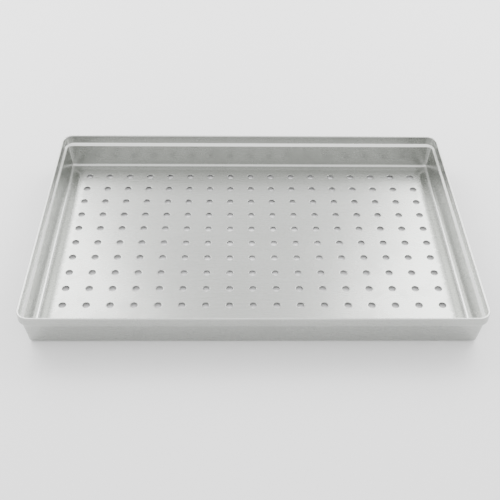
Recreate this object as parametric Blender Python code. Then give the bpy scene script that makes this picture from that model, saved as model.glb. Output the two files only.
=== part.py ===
"""Perforated baguette tray: one pressed aluminium sheet with a folded rim around a steel wire.

Metres, +Z up. The origin is at the centre of the tray, on the surface that it stands on.
X runs along the long side, Y along the short side.
"""
import math

import bmesh
import bpy
from mathutils import Vector

# Overall size, over the outside of the rim
TRAY_LENGTH = 0.600
TRAY_WIDTH = 0.400
TRAY_HEIGHT = 0.0540
SHEET = 0.0008

# Folded rim: two leaves of sheet with the wire between them
RIM_THICKNESS = 0.0030
RIM_LEAF_BOTTOM = 0.0417
WIRE_DIAMETER = 0.0008
WIRE_JOINT_GAP = 0.0004

# Section of the sheet's upper side: an inset is measured inwards from the outside of the rim
JOGGLE_TOP = 0.0401
JOGGLE_FOOT = 0.0366
JOGGLE_FOOT_INSET = 0.0058
FLOOR_CORNER_INSET = 0.0101
JOGGLE_TOP_BEND = 0.0014
JOGGLE_FOOT_BEND = 0.0026
FLOOR_BEND = 0.0040

# The tray stands on a narrow flat edge around its floor, and the punched floor is raised inside it
FLOOR_RISE = 0.0030
STANDING_EDGE_INSET = 0.018
RAISED_FLOOR_INSET = 0.033

# Plan radius of the tray's corners, measured on the outside, by height
CORNER_RADIUS_TOP = 0.017
CORNER_RADIUS_WALL = 0.0135
CORNER_RADIUS_LEAST = 0.004

# Perforation
HOLE_DIAMETER = 0.0105
HOLE_COLUMNS = 17
HOLE_ROWS = 11
HOLE_PITCH_X = 0.0322
HOLE_PITCH_Y = 0.0316
HOLE_PATTERN_SHIFT_Y = -0.0025

# Fineness of the mesh
CORNER_STEPS = 6
BEND_STEPS = 3
CREST_STEPS = 6
RISE_STEPS = 3
HOLE_SIDES = 10
WIRE_BEVEL_RESOLUTION = 1

CREST_RADIUS = RIM_THICKNESS / 2
CREST_CENTRE = TRAY_HEIGHT - CREST_RADIUS


def clear_scene():
    for old in list(bpy.data.objects):
        bpy.data.objects.remove(old, do_unlink=True)


def metal(name, colour, roughness):
    material = bpy.data.materials.new(name)
    material.use_nodes = True
    shader = material.node_tree.nodes["Principled BSDF"]
    shader.inputs["Base Color"].default_value = (*colour, 1.0)
    shader.inputs["Metallic"].default_value = 1.0
    shader.inputs["Roughness"].default_value = roughness
    return material


def outside_corner_radius(height):
    """Plan radius at the outside of the rim's corner, for a ring at this height."""
    if height >= JOGGLE_TOP:
        return CORNER_RADIUS_TOP
    if height <= JOGGLE_FOOT:
        return CORNER_RADIUS_WALL
    part = (height - JOGGLE_FOOT) / (JOGGLE_TOP - JOGGLE_FOOT)
    return CORNER_RADIUS_WALL + part * (CORNER_RADIUS_TOP - CORNER_RADIUS_WALL)


def ring_points(inset, height):
    """Corner points of a rounded rectangle, anticlockwise from the middle of the +Y side."""
    radius = max(outside_corner_radius(height) - inset, CORNER_RADIUS_LEAST)
    centre_x = TRAY_LENGTH / 2 - inset - radius
    centre_y = TRAY_WIDTH / 2 - inset - radius
    points = []
    for corner, (side_x, side_y) in enumerate(((-1, 1), (-1, -1), (1, -1), (1, 1))):
        for step in range(CORNER_STEPS + 1):
            angle = math.radians(90) * (1 + corner + step / CORNER_STEPS)
            x = side_x * centre_x + radius * math.cos(angle)
            y = side_y * centre_y + radius * math.sin(angle)
            points.append(Vector((x, y, height)))
    return points


def rounded_corner(before, corner, after, radius, steps):
    """Points of an arc that rounds off a corner of the section."""
    back = (before - corner).normalized()
    ahead = (after - corner).normalized()
    half_angle = back.angle(ahead) / 2
    centre = corner + (back + ahead).normalized() * radius / math.sin(half_angle)
    start = corner + back * radius / math.tan(half_angle) - centre
    turn = start.angle_signed(corner + ahead * radius / math.tan(half_angle) - centre)
    points = []
    for step in range(steps + 1):
        angle = -turn * step / steps
        x = start.x * math.cos(angle) - start.y * math.sin(angle)
        y = start.x * math.sin(angle) + start.y * math.cos(angle)
        points.append(centre + Vector((x, y)))
    return points


def floor_rise():
    """Upper side of the floor where it climbs from the standing edge, inner end first."""
    points = []
    for step in range(RISE_STEPS + 1):
        part = 1 - step / RISE_STEPS
        inset = STANDING_EDGE_INSET + part * (RAISED_FLOOR_INSET - STANDING_EDGE_INSET)
        height = SHEET + FLOOR_RISE * part * part * (3 - 2 * part)
        points.append(Vector((inset, height)))
    return points


def sheet_section():
    """Upper side of the sheet from the floor to the free edge of the fold: (inset, height)."""
    floor_middle = Vector((TRAY_WIDTH / 2, SHEET))
    floor_corner = Vector((FLOOR_CORNER_INSET, SHEET))
    joggle_foot = Vector((JOGGLE_FOOT_INSET, JOGGLE_FOOT))
    joggle_top = Vector((RIM_THICKNESS, JOGGLE_TOP))
    crest_start = Vector((RIM_THICKNESS, CREST_CENTRE))
    points = floor_rise()
    points += rounded_corner(floor_middle, floor_corner, joggle_foot, FLOOR_BEND, BEND_STEPS)
    points += rounded_corner(floor_corner, joggle_foot, joggle_top, JOGGLE_FOOT_BEND, BEND_STEPS)
    points += rounded_corner(joggle_foot, joggle_top, crest_start, JOGGLE_TOP_BEND, BEND_STEPS)
    for step in range(CREST_STEPS + 1):
        angle = math.pi * step / CREST_STEPS
        inset = CREST_RADIUS + CREST_RADIUS * math.cos(angle)
        points.append(Vector((inset, CREST_CENTRE + CREST_RADIUS * math.sin(angle))))
    points.append(Vector((0.0, RIM_LEAF_BOTTOM)))
    return points


def add_ring(mesh, inset, height):
    corners = [mesh.verts.new(point) for point in ring_points(inset, height)]
    return [mesh.edges.new((a, b)) for a, b in zip(corners, corners[1:] + corners[:1])]


def hole_centres():
    for row in range(HOLE_ROWS):
        for column in range(HOLE_COLUMNS):
            x = (column - (HOLE_COLUMNS - 1) / 2) * HOLE_PITCH_X
            y = (row - (HOLE_ROWS - 1) / 2) * HOLE_PITCH_Y + HOLE_PATTERN_SHIFT_Y
            yield x, y


def add_object(name, mesh, material):
    data = bpy.data.meshes.new(name)
    mesh.to_mesh(data)
    mesh.free()
    data.materials.append(material)
    thing = bpy.data.objects.new(name, data)
    bpy.context.collection.objects.link(thing)
    return thing


def make_punches(material):
    """One round punch for each hole, through the floor."""
    mesh = bmesh.new()
    punch_length = SHEET * 8
    for x, y in hole_centres():
        made = bmesh.ops.create_cone(mesh, cap_ends=True, segments=HOLE_SIDES, depth=punch_length,
                                     radius1=HOLE_DIAMETER / 2, radius2=HOLE_DIAMETER / 2)
        bmesh.ops.translate(mesh, verts=made["verts"], vec=(x, y, FLOOR_RISE + SHEET / 2))
    punches = add_object("floor_punches", mesh, material)
    punches.hide_render = True
    punches.display_type = "WIRE"
    return punches


def make_pan(material):
    """The pressed sheet: floor, drafted walls, joggle, flange and folded rim."""
    mesh = bmesh.new()
    rings = [add_ring(mesh, point.x, point.y) for point in sheet_section()]
    for lower, upper in zip(rings, rings[1:]):
        bmesh.ops.bridge_loops(mesh, edges=lower + upper)
    bmesh.ops.contextual_create(mesh, geom=rings[0])
    bmesh.ops.recalc_face_normals(mesh, faces=mesh.faces)
    mesh.normal_update()
    floor = max(mesh.faces, key=lambda face: face.calc_area())
    if floor.normal.z < 0:
        bmesh.ops.reverse_faces(mesh, faces=mesh.faces)
    pan = add_object("pan", mesh, material)

    thickness = pan.modifiers.new("sheet_thickness", "SOLIDIFY")
    thickness.thickness = SHEET
    thickness.offset = -1.0
    thickness.use_even_offset = True
    thickness.use_quality_normals = True

    punching = pan.modifiers.new("punching", "BOOLEAN")
    punching.operation = "DIFFERENCE"
    punching.solver = "EXACT"
    punching.object = make_punches(material)

    pan.data.shade_smooth()
    pan.data.set_sharp_from_angle(angle=math.radians(35))
    return pan


def make_rim_wire(material):
    """Stiffening wire inside the fold, bent to one turn with its ends butted at the back."""
    path = ring_points(CREST_RADIUS, CREST_CENTRE)
    back_y = path[0].y
    start = Vector((-WIRE_JOINT_GAP / 2, back_y, CREST_CENTRE))
    end = Vector((WIRE_JOINT_GAP / 2, back_y, CREST_CENTRE))
    route = [start, *path, end]

    curve = bpy.data.curves.new("rim_wire", "CURVE")
    curve.dimensions = "3D"
    curve.bevel_depth = WIRE_DIAMETER / 2
    curve.bevel_resolution = WIRE_BEVEL_RESOLUTION
    curve.use_fill_caps = True
    spline = curve.splines.new("POLY")
    spline.points.add(len(route) - 1)
    for point, place in zip(spline.points, route):
        point.co = (*place, 1.0)
    curve.materials.append(material)
    wire = bpy.data.objects.new("rim_wire", curve)
    bpy.context.collection.objects.link(wire)
    return wire


clear_scene()
make_pan(metal("satin_aluminium", (0.72, 0.72, 0.70), 0.34))
make_rim_wire(metal("galvanised_wire", (0.55, 0.56, 0.57), 0.45))
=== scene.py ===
import math

import bmesh
import bpy
from mathutils import Matrix, Vector

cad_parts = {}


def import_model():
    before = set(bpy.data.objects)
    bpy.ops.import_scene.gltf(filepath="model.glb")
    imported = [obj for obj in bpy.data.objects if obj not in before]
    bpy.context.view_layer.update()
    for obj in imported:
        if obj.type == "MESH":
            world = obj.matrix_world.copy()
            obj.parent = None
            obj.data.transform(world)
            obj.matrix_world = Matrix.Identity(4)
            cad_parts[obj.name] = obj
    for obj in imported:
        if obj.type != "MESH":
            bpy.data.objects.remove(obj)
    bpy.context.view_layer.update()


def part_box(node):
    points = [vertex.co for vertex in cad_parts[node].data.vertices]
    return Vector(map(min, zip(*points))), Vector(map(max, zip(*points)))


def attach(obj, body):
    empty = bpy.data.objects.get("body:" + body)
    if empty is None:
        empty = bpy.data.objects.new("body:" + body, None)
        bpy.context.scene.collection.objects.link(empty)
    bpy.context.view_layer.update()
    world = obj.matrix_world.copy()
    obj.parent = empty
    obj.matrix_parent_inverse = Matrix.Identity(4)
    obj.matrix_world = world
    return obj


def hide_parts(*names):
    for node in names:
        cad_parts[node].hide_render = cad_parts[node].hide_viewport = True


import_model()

PAN_LOW, PAN_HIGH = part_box("pan")

# The pan's outline comes from the frame; the section of its sheet is given here, in metres
PAN_LENGTH = PAN_HIGH.x - PAN_LOW.x
PAN_WIDTH = PAN_HIGH.y - PAN_LOW.y
PAN_HEIGHT = PAN_HIGH.z
SHEET = 0.0008
RIM_THICKNESS = 0.0030
RIM_LEAF_BOTTOM = 0.0417
JOGGLE_TOP = 0.0401
JOGGLE_FOOT = 0.0366
JOGGLE_FOOT_INSET = 0.0058
FLOOR_CORNER_INSET = 0.0101
JOGGLE_TOP_BEND = 0.0014
JOGGLE_FOOT_BEND = 0.0026
FLOOR_BEND = 0.0040
FLOOR_RISE = 0.0036
FLOOR_SAG = 0.0012
FLOOR_SAG_REACH_X = 0.24
FLOOR_SAG_REACH_Y = 0.15
STANDING_EDGE_INSET = 0.0145
RAISED_FLOOR_INSET = 0.030
CREST_RADIUS = RIM_THICKNESS / 2
CREST_CENTRE = PAN_HEIGHT - CREST_RADIUS
CORNER_RADIUS_TOP = 0.017
CORNER_RADIUS_WALL = 0.0135
CORNER_RADIUS_LEAST = 0.004

HOLE_RADIUS = 0.00525
HOLE_COLUMNS = 17
HOLE_ROWS = 11
HOLE_PITCH_X = 0.0322
HOLE_PITCH_Y = 0.0316
HOLE_PATTERN_SHIFT_Y = -0.0025
PUNCH_ROLL_WIDTH = 0.0003
PUNCH_ROLL_DROP = 0.0001
HOLE_HOLDING = 0.0012

WIRE_RADIUS = 0.0004
WIRE_JOINT_GAP = 0.0004

CORNER_STEPS = 16
BEND_STEPS = 8
CREST_STEPS = 14
HOLE_STEPS = 24
MARGIN_STEPS = 9
CELL_SIDE_STEPS = HOLE_STEPS // 4
WIRE_STEPS = 10
HOLDING_DISTANCE = 0.0004

# Points closer than these are the same point, and edges this close to a line lie on it
CELL_MERGE = 0.00001
WIRE_MERGE = 0.000001
ON_LINE = 0.000005

# Edges bent by more than this stay sharp, in degrees
PAN_SHARP_ANGLE = 40
WIRE_SHARP_ANGLE = 60

# How strongly the crest and the floor bend take the polished finish and the painted highlight in
# the colour, against the step in the wall
CREST_POLISH_AND_HIGHLIGHT = 0.35
FOOT_POLISH_AND_HIGHLIGHT = 0.5

# Finishes: the darkest and the palest tone of each material, and the painted highlight tone along
# the bends of the sheet
ALUMINIUM_DULL = (0.385, 0.394, 0.376)
ALUMINIUM_BRIGHT = (0.48, 0.49, 0.472)
ALUMINIUM_PAINTED_HIGHLIGHT = (0.86, 0.87, 0.85)
ZINC_DARK = (0.33, 0.34, 0.35)
ZINC_PALE = (0.52, 0.53, 0.54)
BOARD_DARK = (0.79, 0.79, 0.793)
BOARD_PALE = (0.81, 0.81, 0.813)

# Studio, in metres, degrees and watts
BOARD_HALF_SIZE = 6.0
SKY_STRENGTH = 1.9
CAMERA_LENS = 58.68
CAMERA_SENSOR = 36.0
CAMERA_REACH = 50.0
CAMERA_PLACE = (-0.0247, -0.8899, 0.8075)
CAMERA_TURN = -1.430
CAMERA_DIP = 42.66
CAMERA_ROLL = 1.045


# ---------------------------------------------------------------- shapes

def outside_corner_radius(height):
    """Plan radius at the outside of the rim's corner, for a loop at this height."""
    if height >= JOGGLE_TOP:
        return CORNER_RADIUS_TOP
    if height <= JOGGLE_FOOT:
        return CORNER_RADIUS_WALL
    part = (height - JOGGLE_FOOT) / (JOGGLE_TOP - JOGGLE_FOOT)
    return CORNER_RADIUS_WALL + part * (CORNER_RADIUS_TOP - CORNER_RADIUS_WALL)


def rounded_loop(mesh, inset, height):
    """A rectangle with rounded corners, as a closed loop of edges. The mesh holds no faces yet."""
    square = bmesh.ops.create_grid(mesh, x_segments=1, y_segments=1, size=0.5)["verts"]
    bmesh.ops.scale(mesh, verts=square, vec=(PAN_LENGTH - 2 * inset, PAN_WIDTH - 2 * inset, 1.0))
    bmesh.ops.translate(mesh, verts=square, vec=(0.0, 0.0, height))
    radius = max(outside_corner_radius(height) - inset, CORNER_RADIUS_LEAST)
    bmesh.ops.bevel(mesh, geom=square, offset=radius,
                    segments=CORNER_STEPS, profile=0.5, affect="VERTICES", material=-1)
    mesh.faces.ensure_lookup_table()
    edges = list(mesh.faces[0].edges)
    bmesh.ops.delete(mesh, geom=[mesh.faces[0]], context="FACES_ONLY")
    for axis, cells in ((0, HOLE_COLUMNS), (1, HOLE_ROWS)):
        longest = max(abs(edge.verts[0].co[axis] - edge.verts[1].co[axis]) for edge in edges)
        sides = [edge for edge in edges
                 if abs(edge.verts[0].co[axis] - edge.verts[1].co[axis]) > longest * 0.99]
        cut = bmesh.ops.subdivide_edges(mesh, edges=sides, cuts=cells * CELL_SIDE_STEPS - 1)
        parts = {part for part in cut["geom"] if isinstance(part, bmesh.types.BMEdge)}
        edges = list(set(edges) | parts)
    return edges


def rounded_corner(before, corner, after, radius, steps):
    """Points of an arc that rounds off a corner of the section."""
    back = (before - corner).normalized()
    ahead = (after - corner).normalized()
    half_angle = back.angle(ahead) / 2
    centre = corner + (back + ahead).normalized() * radius / math.sin(half_angle)
    start = corner + back * radius / math.tan(half_angle) - centre
    turn = start.angle_signed(corner + ahead * radius / math.tan(half_angle) - centre)
    points = []
    for step in range(steps + 1):
        angle = -turn * step / steps
        x = start.x * math.cos(angle) - start.y * math.sin(angle)
        y = start.x * math.sin(angle) + start.y * math.cos(angle)
        points.append(centre + Vector((x, y)))
    return points


def held(stretches):
    """Joins the bends of a section, with a holding point just off each end of each flat."""
    points = list(stretches[0])
    for stretch in stretches[1:]:
        along = (stretch[0] - points[-1]).normalized() * HOLDING_DISTANCE
        points += [points[-1] + along, stretch[0] - along]
        points += stretch
    return points


def sheet_section():
    """Upper side of the sheet from the floor to the free edge of the fold: (inset, height)."""
    floor_middle = Vector((PAN_WIDTH / 2, SHEET))
    floor_corner = Vector((FLOOR_CORNER_INSET, SHEET))
    joggle_foot = Vector((JOGGLE_FOOT_INSET, JOGGLE_FOOT))
    joggle_top = Vector((RIM_THICKNESS, JOGGLE_TOP))
    crest_start = Vector((RIM_THICKNESS, CREST_CENTRE))
    floor_bend = rounded_corner(floor_middle, floor_corner, joggle_foot, FLOOR_BEND, BEND_STEPS)
    foot_bend = rounded_corner(floor_corner, joggle_foot, joggle_top, JOGGLE_FOOT_BEND, BEND_STEPS)
    top_bend = rounded_corner(joggle_foot, joggle_top, crest_start, JOGGLE_TOP_BEND, BEND_STEPS)
    crest = []
    for step in range(CREST_STEPS + 1):
        angle = math.pi * step / CREST_STEPS
        inset = CREST_RADIUS + CREST_RADIUS * math.cos(angle)
        crest.append(Vector((inset, CREST_CENTRE + CREST_RADIUS * math.sin(angle))))
    leaf_edge = [Vector((0.0, RIM_LEAF_BOTTOM))]
    points = held([floor_bend, foot_bend, top_bend, crest, leaf_edge])
    return [points[0] + Vector((HOLDING_DISTANCE, 0.0)), *points]


def punched_cell():
    """One cell of the floor: a square with a round hole, whose edge the punch rolled over."""
    cell = bmesh.new()
    square = bmesh.ops.create_grid(cell, x_segments=1, y_segments=1, size=0.5)["verts"]
    bmesh.ops.scale(cell, verts=square, vec=(HOLE_PITCH_X, HOLE_PITCH_Y, 1.0))
    bmesh.ops.delete(cell, geom=list(cell.faces), context="FACES_ONLY")
    bmesh.ops.subdivide_edges(cell, edges=list(cell.edges), cuts=CELL_SIDE_STEPS - 1)
    outline = list(cell.edges)
    radius = HOLE_RADIUS + HOLE_HOLDING
    ring = bmesh.ops.create_circle(cell, segments=HOLE_STEPS, radius=radius)["verts"]
    bmesh.ops.rotate(cell, verts=ring, matrix=Matrix.Rotation(math.radians(45), 3, "Z"))
    rim = list({edge for vert in ring for edge in vert.link_edges})
    bmesh.ops.bridge_loops(cell, edges=outline + rim)
    for width, drop in ((PUNCH_ROLL_WIDTH, 0.0),
                        (PUNCH_ROLL_WIDTH / 3, PUNCH_ROLL_DROP / 3),
                        (0.0, PUNCH_ROLL_DROP * 2 / 3)):
        pulled = bmesh.ops.extrude_edge_only(cell, edges=rim)["geom"]
        ring = [part for part in pulled if isinstance(part, bmesh.types.BMVert)]
        rim = [part for part in pulled if isinstance(part, bmesh.types.BMEdge)]
        shrink = (HOLE_RADIUS + width) / radius
        bmesh.ops.scale(cell, verts=ring, vec=(shrink, shrink, 1.0))
        bmesh.ops.translate(cell, verts=ring, vec=(0.0, 0.0, -drop))
        radius = HOLE_RADIUS + width
    return cell


def punched_floor():
    """All the cells of the floor, side by side."""
    floor_mesh = punched_cell()
    cell = [*floor_mesh.verts, *floor_mesh.edges, *floor_mesh.faces]
    first = list(floor_mesh.verts)
    for row in range(HOLE_ROWS):
        for column in range(HOLE_COLUMNS):
            copy = bmesh.ops.duplicate(floor_mesh, geom=cell)["geom"]
            x = (column - (HOLE_COLUMNS - 1) / 2) * HOLE_PITCH_X
            y = (row - (HOLE_ROWS - 1) / 2) * HOLE_PITCH_Y + HOLE_PATTERN_SHIFT_Y
            moved = [part for part in copy if isinstance(part, bmesh.types.BMVert)]
            bmesh.ops.translate(floor_mesh, verts=moved, vec=(x, y, SHEET))
    bmesh.ops.delete(floor_mesh, geom=first, context="VERTS")
    bmesh.ops.remove_doubles(floor_mesh, verts=floor_mesh.verts, dist=CELL_MERGE)
    data = bpy.data.meshes.new("punched_floor")
    floor_mesh.to_mesh(data)
    floor_mesh.free()
    return data


def eased(part):
    """A climb from 0 to 1 that starts and ends level."""
    part = min(max(part, 0.0), 1.0)
    return part * part * (3 - 2 * part)


def raise_floor(mesh):
    """Lifts the floor and its holes inside the standing edge, a little less in the middle."""
    climb = RAISED_FLOOR_INSET - STANDING_EDGE_INSET
    for vert in mesh.verts:
        if vert.co.z > SHEET + FLOOR_RISE:
            continue
        away = math.hypot(vert.co.x / FLOOR_SAG_REACH_X, vert.co.y / FLOOR_SAG_REACH_Y)
        lift = FLOOR_RISE - FLOOR_SAG * (1 - eased(away))
        for inset in (PAN_LENGTH / 2 - abs(vert.co.x), PAN_WIDTH / 2 - abs(vert.co.y)):
            lift *= eased((inset - STANDING_EDGE_INSET) / climb)
        vert.co.z += lift


def edges_along(edges, axis, place):
    """Those of the edges that lie on the line where this coordinate has this value."""
    return [edge for edge in edges
            if all(abs(vert.co[axis] - place) < ON_LINE for vert in edge.verts)]


def floor_margin(mesh, loop, inset):
    """Joins the punched cells to the loop around them: four strips and four corners."""
    boundary = [edge for edge in mesh.edges if edge.is_boundary]
    half_x = HOLE_COLUMNS * HOLE_PITCH_X / 2
    half_y = HOLE_ROWS * HOLE_PITCH_Y / 2
    strips = []
    for side in (-1, 1):
        for axis, cells, half in ((0, side * half_x, PAN_LENGTH / 2),
                                  (1, side * half_y + HOLE_PATTERN_SHIFT_Y, PAN_WIDTH / 2)):
            inner = edges_along(boundary, axis, cells)
            outer = edges_along(loop, axis, side * (half - inset))
            strip = bmesh.ops.bridge_loops(mesh, edges=inner + outer)["edges"]
            strips += [edge for edge in strip if edge not in inner and edge not in outer]
    bmesh.ops.holes_fill(mesh, edges=list(mesh.edges), sides=CORNER_STEPS + 2)
    bmesh.ops.subdivide_edges(mesh, edges=strips, cuts=MARGIN_STEPS, use_grid_fill=True)


def mark_bends(data):
    """Marks where the sheet was bent round the press tool: a mask for a painted highlight in the
    colour and a smoother, polished finish there.
    """
    marks = data.attributes.new("bend_polish_and_highlight", "FLOAT", "POINT")
    for vert, mark in zip(data.vertices, marks.data):
        x, y, height = vert.co
        inset = min(PAN_LENGTH / 2 - abs(x), PAN_WIDTH / 2 - abs(y))
        joggle = eased((height - JOGGLE_FOOT) / JOGGLE_TOP_BEND + 1)
        joggle *= 1 - eased((height - JOGGLE_TOP) / JOGGLE_TOP_BEND)
        crest = eased((height - CREST_CENTRE) / CREST_RADIUS)
        from_corner = math.hypot(inset - FLOOR_CORNER_INSET, height - SHEET)
        foot = 1 - eased(from_corner / FLOOR_BEND)
        mark.value = max(joggle, crest * CREST_POLISH_AND_HIGHLIGHT, foot * FOOT_POLISH_AND_HIGHLIGHT)


def finished(name, mesh, material, sharp_angle):
    """Makes the object of a finished piece, smooth except across its sharp edges."""
    data = bpy.data.meshes.new(name)
    mesh.to_mesh(data)
    mesh.free()
    data.materials.append(material)
    data.shade_smooth()
    data.set_sharp_from_angle(angle=math.radians(sharp_angle))
    piece = bpy.data.objects.new(name, data)
    bpy.context.collection.objects.link(piece)
    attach(piece, "root")
    return piece


def pressed_pan(material):
    """The pressed sheet: punched floor, drafted walls, joggle, flange and folded rim."""
    mesh = bmesh.new()
    section = sheet_section()
    loops = [rounded_loop(mesh, point.x, point.y) for point in section]
    for lower, upper in zip(loops, loops[1:]):
        bmesh.ops.bridge_loops(mesh, edges=lower + upper)
    mesh.from_mesh(punched_floor())
    floor_margin(mesh, loops[0], section[0].x)
    raise_floor(mesh)
    bmesh.ops.recalc_face_normals(mesh, faces=mesh.faces)
    widest_level_face = max(mesh.faces, key=lambda face: abs(face.normal.z) * face.calc_area())
    if widest_level_face.normal.z < 0:
        bmesh.ops.reverse_faces(mesh, faces=mesh.faces)
    bmesh.ops.solidify(mesh, geom=list(mesh.faces), thickness=SHEET)
    pan = finished("pressed_pan", mesh, material, PAN_SHARP_ANGLE)
    mark_bends(pan.data)
    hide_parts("pan")
    return pan


def rim_wire(material):
    """The stiffening wire inside the fold, one turn with its ends butted at the back."""
    mesh = bmesh.new()
    loops = []
    for step in range(WIRE_STEPS + 1):
        angle = math.tau * (step % WIRE_STEPS + 0.25) / WIRE_STEPS
        loops.append(rounded_loop(mesh, CREST_RADIUS + WIRE_RADIUS * math.cos(angle),
                                  CREST_CENTRE + WIRE_RADIUS * math.sin(angle)))
    for near, far in zip(loops, loops[1:]):
        bmesh.ops.bridge_loops(mesh, edges=near + far)
    bmesh.ops.remove_doubles(mesh, verts=mesh.verts, dist=WIRE_MERGE)
    for side in (-1, 1):
        bmesh.ops.bisect_plane(mesh, geom=[*mesh.verts, *mesh.edges, *mesh.faces],
                               plane_co=(side * WIRE_JOINT_GAP / 2, 0, 0), plane_no=(1, 0, 0))
    gap = [face for face in mesh.faces
           if abs(face.calc_center_median().x) < WIRE_JOINT_GAP / 2
           and face.calc_center_median().y > 0]
    bmesh.ops.delete(mesh, geom=gap, context="FACES")
    bmesh.ops.holes_fill(mesh, edges=list(mesh.edges), sides=WIRE_STEPS)
    bmesh.ops.recalc_face_normals(mesh, faces=mesh.faces)
    wire = finished("stiffening_wire", mesh, material, WIRE_SHARP_ANGLE)
    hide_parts("rim_wire")
    return wire


# ---------------------------------------------------------------- finishes

def new_group(name, inputs, outputs):
    """An empty shader node group: its sockets, its input node and its output node."""
    group = bpy.data.node_groups.new(name, "ShaderNodeTree")
    for label, kind, value in inputs:
        socket = group.interface.new_socket(label, in_out="INPUT", socket_type=kind)
        if value is not None:
            socket.default_value = value
    for label, kind in outputs:
        group.interface.new_socket(label, in_out="OUTPUT", socket_type=kind)
    start = group.nodes.new("NodeGroupInput")
    end = group.nodes.new("NodeGroupOutput")
    return group, start, end


def add_node(tree, kind, links=(), **settings):
    """Adds a node, sets its properties, then sets or links its inputs: (input, value or socket)."""
    node = tree.nodes.new(kind)
    for label, value in settings.items():
        setattr(node, label, value)
    for key, value in links:
        if isinstance(value, bpy.types.NodeSocket):
            tree.links.new(value, node.inputs[key])
        else:
            node.inputs[key].default_value = value
    return node


def ranged(tree, value, low, high, to_low, to_high, smooth=False):
    """Maps one range of a value onto another, clamped."""
    kind = "SMOOTHSTEP" if smooth else "LINEAR"
    node = add_node(tree, "ShaderNodeMapRange", (
        ("Value", value), ("From Min", low), ("From Max", high),
        ("To Min", to_low), ("To Max", to_high)), interpolation_type=kind)
    return node.outputs["Result"]


def sums(tree, operation, first, second):
    """One step of arithmetic on two values or sockets."""
    return add_node(tree, "ShaderNodeMath", ((0, first), (1, second)),
                    operation=operation).outputs["Value"]


def rolled_grain_group():
    """Fine lines that the rolling mill leaves along X, broken up over their length."""
    group, start, end = new_group("rolled_grain", (
        ("Vector", "NodeSocketVector", None),
        ("Lines Along", "NodeSocketFloat", 40.0),
        ("Lines Across", "NodeSocketFloat", 1500.0)), (("Grain", "NodeSocketFloat"),))
    stretch = add_node(group, "ShaderNodeCombineXYZ", (
        ("X", start.outputs["Lines Along"]), ("Y", start.outputs["Lines Across"]),
        ("Z", start.outputs["Lines Across"])))
    spread = add_node(group, "ShaderNodeVectorMath", (
        (0, start.outputs["Vector"]), (1, stretch.outputs["Vector"])), operation="MULTIPLY")
    fine = add_node(group, "ShaderNodeTexNoise", (
        ("Vector", spread.outputs["Vector"]), ("Scale", 1.0), ("Detail", 3.0),
        ("Roughness", 0.6)))
    grain = ranged(group, fine.outputs["Fac"], 0.3, 0.7, 0.0, 1.0)
    group.links.new(grain, end.inputs["Grain"])
    return group


def uneven_sheet_group():
    """The slow unevenness of pressed sheet, and a faint mottle in its surface."""
    group, start, end = new_group("uneven_sheet", (
        ("Vector", "NodeSocketVector", None),
        ("Wave Scale", "NodeSocketFloat", 14.0),
        ("Mottle Scale", "NodeSocketFloat", 260.0)), (
        ("Wave", "NodeSocketFloat"), ("Mottle", "NodeSocketFloat")))
    wave = add_node(group, "ShaderNodeTexNoise", (
        ("Vector", start.outputs["Vector"]), ("Scale", start.outputs["Wave Scale"]),
        ("Detail", 1.5), ("Roughness", 0.4)))
    mottle = add_node(group, "ShaderNodeTexNoise", (
        ("Vector", start.outputs["Vector"]), ("Scale", start.outputs["Mottle Scale"]),
        ("Detail", 4.0), ("Roughness", 0.65)))
    group.links.new(wave.outputs["Fac"], end.inputs["Wave"])
    group.links.new(ranged(group, mottle.outputs["Fac"], 0.35, 0.65, 0.0, 1.0),
                    end.inputs["Mottle"])
    return group


def handling_group():
    """Traces of use: soft rub marks and a few short hairline scratches."""
    group, start, end = new_group("handling_marks", (
        ("Vector", "NodeSocketVector", None),
        ("Rub Scale", "NodeSocketFloat", 18.0),
        ("Scratch Scale", "NodeSocketFloat", 55.0)), (
        ("Rub", "NodeSocketFloat"), ("Scratch", "NodeSocketFloat")))
    rub = add_node(group, "ShaderNodeTexNoise", (
        ("Vector", start.outputs["Vector"]), ("Scale", start.outputs["Rub Scale"]),
        ("Detail", 5.0), ("Roughness", 0.62), ("Distortion", 0.4)))
    bent = add_node(group, "ShaderNodeTexNoise", (
        ("Vector", start.outputs["Vector"]), ("Scale", 9.0), ("Detail", 1.0)))
    shift = add_node(group, "ShaderNodeVectorMath", (
        (0, bent.outputs["Color"]), ("Scale", 0.05)), operation="SCALE")
    moved = add_node(group, "ShaderNodeVectorMath", (
        (0, start.outputs["Vector"]), (1, shift.outputs["Vector"])), operation="ADD")
    net = add_node(group, "ShaderNodeTexVoronoi", (
        ("Vector", moved.outputs["Vector"]), ("Scale", start.outputs["Scratch Scale"])),
        feature="DISTANCE_TO_EDGE")
    line = ranged(group, net.outputs["Distance"], 0.0, 0.012, 1.0, 0.0)
    few = add_node(group, "ShaderNodeTexNoise", (
        ("Vector", start.outputs["Vector"]), ("Scale", 31.0), ("Detail", 2.0)))
    some = ranged(group, few.outputs["Fac"], 0.58, 0.66, 0.0, 1.0, smooth=True)
    group.links.new(ranged(group, rub.outputs["Fac"], 0.5, 0.72, 0.0, 1.0, smooth=True),
                    end.inputs["Rub"])
    group.links.new(sums(group, "MULTIPLY", line, some), end.inputs["Scratch"])
    return group


def new_material(name, metallic):
    """A material, its node tree, its shader and its Object coordinates."""
    material = bpy.data.materials.new(name)
    material.use_nodes = True
    tree = material.node_tree
    shader = tree.nodes["Principled BSDF"]
    shader.inputs["Metallic"].default_value = metallic
    place = add_node(tree, "ShaderNodeTexCoord").outputs["Object"]
    return material, tree, shader, place


def placed(tree, group, place, **values):
    """Puts a shared effect in a material with this material's own values."""
    node = add_node(tree, "ShaderNodeGroup", node_tree=group)
    tree.links.new(place, node.inputs["Vector"])
    for label, value in values.items():
        node.inputs[label.replace("_", " ").title()].default_value = value
    return node


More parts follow.
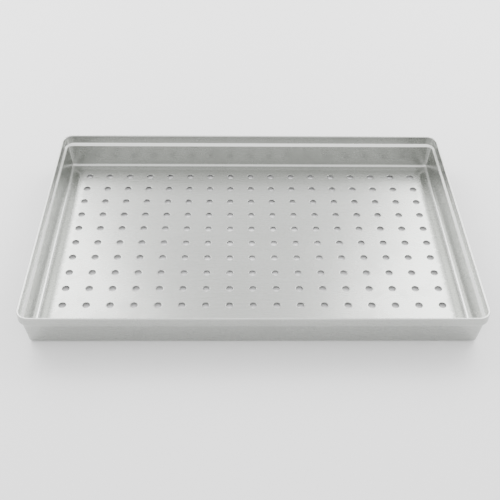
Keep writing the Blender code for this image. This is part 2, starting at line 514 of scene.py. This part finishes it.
def shade(tree, factor, low, high):
    """Runs from one tone to another by a mask. Either tone may be a colour or a socket."""
    mix = add_node(tree, "ShaderNodeMix", data_type="RGBA")
    tree.links.new(factor, mix.inputs["Factor"])
    for end, tone in (("A", low), ("B", high)):
        socket = next(entry for entry in mix.inputs if entry.name == end and entry.type == "RGBA")
        if isinstance(tone, bpy.types.NodeSocket):
            tree.links.new(tone, socket)
        else:
            socket.default_value = (*tone, 1.0)
    return next(entry for entry in mix.outputs if entry.type == "RGBA")


def bumped(tree, shader, heights):
    """Chains bumps, each of one height map with its own depth in metres."""
    normal = None
    for height, depth, strength in heights:
        bump = add_node(tree, "ShaderNodeBump", (
            ("Height", height), ("Distance", depth), ("Strength", strength)))
        if normal is not None:
            tree.links.new(normal, bump.inputs["Normal"])
        normal = bump.outputs["Normal"]
    tree.links.new(normal, shader.inputs["Normal"])


def satin_aluminium(grain, uneven, handling):
    """Rolled and pressed aluminium sheet, satin, a little rubbed by use, with a painted highlight
    along its bends.
    """
    material, tree, shader, place = new_material("satin_aluminium", 1.0)
    lines = placed(tree, grain, place, lines_along=30.0, lines_across=1100.0)
    sheet = placed(tree, uneven, place, wave_scale=11.0, mottle_scale=420.0)
    marks = placed(tree, handling, place, rub_scale=16.0, scratch_scale=42.0)
    bend_polish_and_highlight = add_node(tree, "ShaderNodeAttribute", attribute_name="bend_polish_and_highlight").outputs["Fac"]

    tone = sums(tree, "MULTIPLY", sheet.outputs["Mottle"], 0.45)
    tone = sums(tree, "ADD", tone, sums(tree, "MULTIPLY", lines.outputs["Grain"], 0.2))
    tone = sums(tree, "ADD", tone, sums(tree, "MULTIPLY", sheet.outputs["Wave"], 0.35))
    tone = sums(tree, "SUBTRACT", tone, sums(tree, "MULTIPLY", marks.outputs["Rub"], 0.3))
    worn = shade(tree, tone, ALUMINIUM_DULL, ALUMINIUM_BRIGHT)
    # Along the bends the colour runs up to a painted highlight tone; the roughness below is lowered
    # there for a polished finish.
    tree.links.new(shade(tree, bend_polish_and_highlight, worn, ALUMINIUM_PAINTED_HIGHLIGHT), shader.inputs["Base Color"])

    rough = ranged(tree, lines.outputs["Grain"], 0.0, 1.0, 0.255, 0.285)
    rough = sums(tree, "ADD", rough, sums(tree, "MULTIPLY", marks.outputs["Rub"], 0.05))
    rough = sums(tree, "ADD", rough, sums(tree, "MULTIPLY", marks.outputs["Scratch"], 0.08))
    rough = sums(tree, "SUBTRACT", rough, sums(tree, "MULTIPLY", bend_polish_and_highlight, 0.06))
    tree.links.new(rough, shader.inputs["Roughness"])
    bumped(tree, shader, ((sheet.outputs["Wave"], 0.0012, 0.35),
                          (lines.outputs["Grain"], 0.00001, 0.35),
                          (marks.outputs["Scratch"], -0.00002, 0.3)))
    return material


def galvanised_wire(uneven, handling):
    """Dull zinc on steel wire, with the cells that zinc sets in."""
    material, tree, shader, place = new_material("galvanised_wire", 1.0)
    skin = placed(tree, uneven, place, wave_scale=90.0, mottle_scale=900.0)
    marks = placed(tree, handling, place, rub_scale=120.0, scratch_scale=300.0)
    cells = add_node(tree, "ShaderNodeTexVoronoi", (("Vector", place), ("Scale", 700.0)))
    spangle = ranged(tree, cells.outputs["Color"], 0.0, 1.0, 0.15, 0.85)
    tree.links.new(shade(tree, spangle, ZINC_DARK, ZINC_PALE), shader.inputs["Base Color"])
    rough = ranged(tree, skin.outputs["Mottle"], 0.0, 1.0, 0.38, 0.5)
    rough = sums(tree, "ADD", rough, sums(tree, "MULTIPLY", marks.outputs["Rub"], 0.08))
    tree.links.new(rough, shader.inputs["Roughness"])
    bumped(tree, shader, ((skin.outputs["Mottle"], 0.00001, 0.4),))
    return material


def pale_floor(uneven):
    """Matt white board with a barely visible mottle."""
    material, tree, shader, place = new_material("pale_floor", 0.0)
    skin = placed(tree, uneven, place, wave_scale=1.5, mottle_scale=120.0)
    board = shade(tree, skin.outputs["Wave"], BOARD_DARK, BOARD_PALE)
    tree.links.new(board, shader.inputs["Base Color"])
    tree.links.new(ranged(tree, skin.outputs["Mottle"], 0.0, 1.0, 0.5, 0.6),
                   shader.inputs["Roughness"])
    return material


# ---------------------------------------------------------------- studio

def floor(material):
    """The board that the tray stands on."""
    mesh = bmesh.new()
    bmesh.ops.create_grid(mesh, x_segments=1, y_segments=1, size=BOARD_HALF_SIZE)
    data = bpy.data.meshes.new("studio_floor")
    mesh.to_mesh(data)
    mesh.free()
    data.materials.append(material)
    ground = bpy.data.objects.new("studio_floor", data)
    bpy.context.collection.objects.link(ground)


def soft_box(name, place, target, size, power):
    """A rectangular lamp at a place, turned to face the target."""
    light = bpy.data.lights.new(name, "AREA")
    light.shape = "RECTANGLE"
    light.size, light.size_y = size
    light.energy = power
    lamp = bpy.data.objects.new(name, light)
    lamp.location = place
    lamp.rotation_euler = (Vector(target) - Vector(place)).to_track_quat("-Z", "Y").to_euler()
    bpy.context.collection.objects.link(lamp)


def camera():
    data = bpy.data.cameras.new("camera")
    data.lens = CAMERA_LENS
    data.sensor_width = CAMERA_SENSOR
    data.clip_end = CAMERA_REACH
    view = bpy.data.objects.new("camera", data)
    turn = Matrix.Rotation(math.radians(CAMERA_TURN), 4, "Z")
    tilt = Matrix.Rotation(math.radians(90 - CAMERA_DIP), 4, "X")
    roll = Matrix.Rotation(math.radians(CAMERA_ROLL), 4, "Z")
    view.matrix_world = Matrix.Translation(CAMERA_PLACE) @ turn @ tilt @ roll
    bpy.context.collection.objects.link(view)
    bpy.context.scene.camera = view


def world():
    """Even soft light all round."""
    sky = bpy.data.worlds.new("studio")
    sky.use_nodes = True
    background = sky.node_tree.nodes["Background"]
    background.inputs["Color"].default_value = (1.0, 1.0, 1.0, 1.0)
    background.inputs["Strength"].default_value = SKY_STRENGTH
    bpy.context.scene.world = sky


uneven_sheet = uneven_sheet_group()
handling_marks = handling_group()
pressed_pan(satin_aluminium(rolled_grain_group(), uneven_sheet, handling_marks))
rim_wire(galvanised_wire(uneven_sheet, handling_marks))
floor(pale_floor(uneven_sheet))
for side in (-1, 1):
    soft_box("back_box", (side * 0.95, 0.95, 1.1), (0, 0, 0), (1.1, 0.9), 25)
    soft_box("side_box", (side * 1.4, 0.1, 0.8), (0, 0, 0), (0.9, 0.9), 4)
soft_box("back_wash", (0, 2.4, 0.9), (0, 0, 0.2), (4.0, 1.0), 30)
world()
camera()
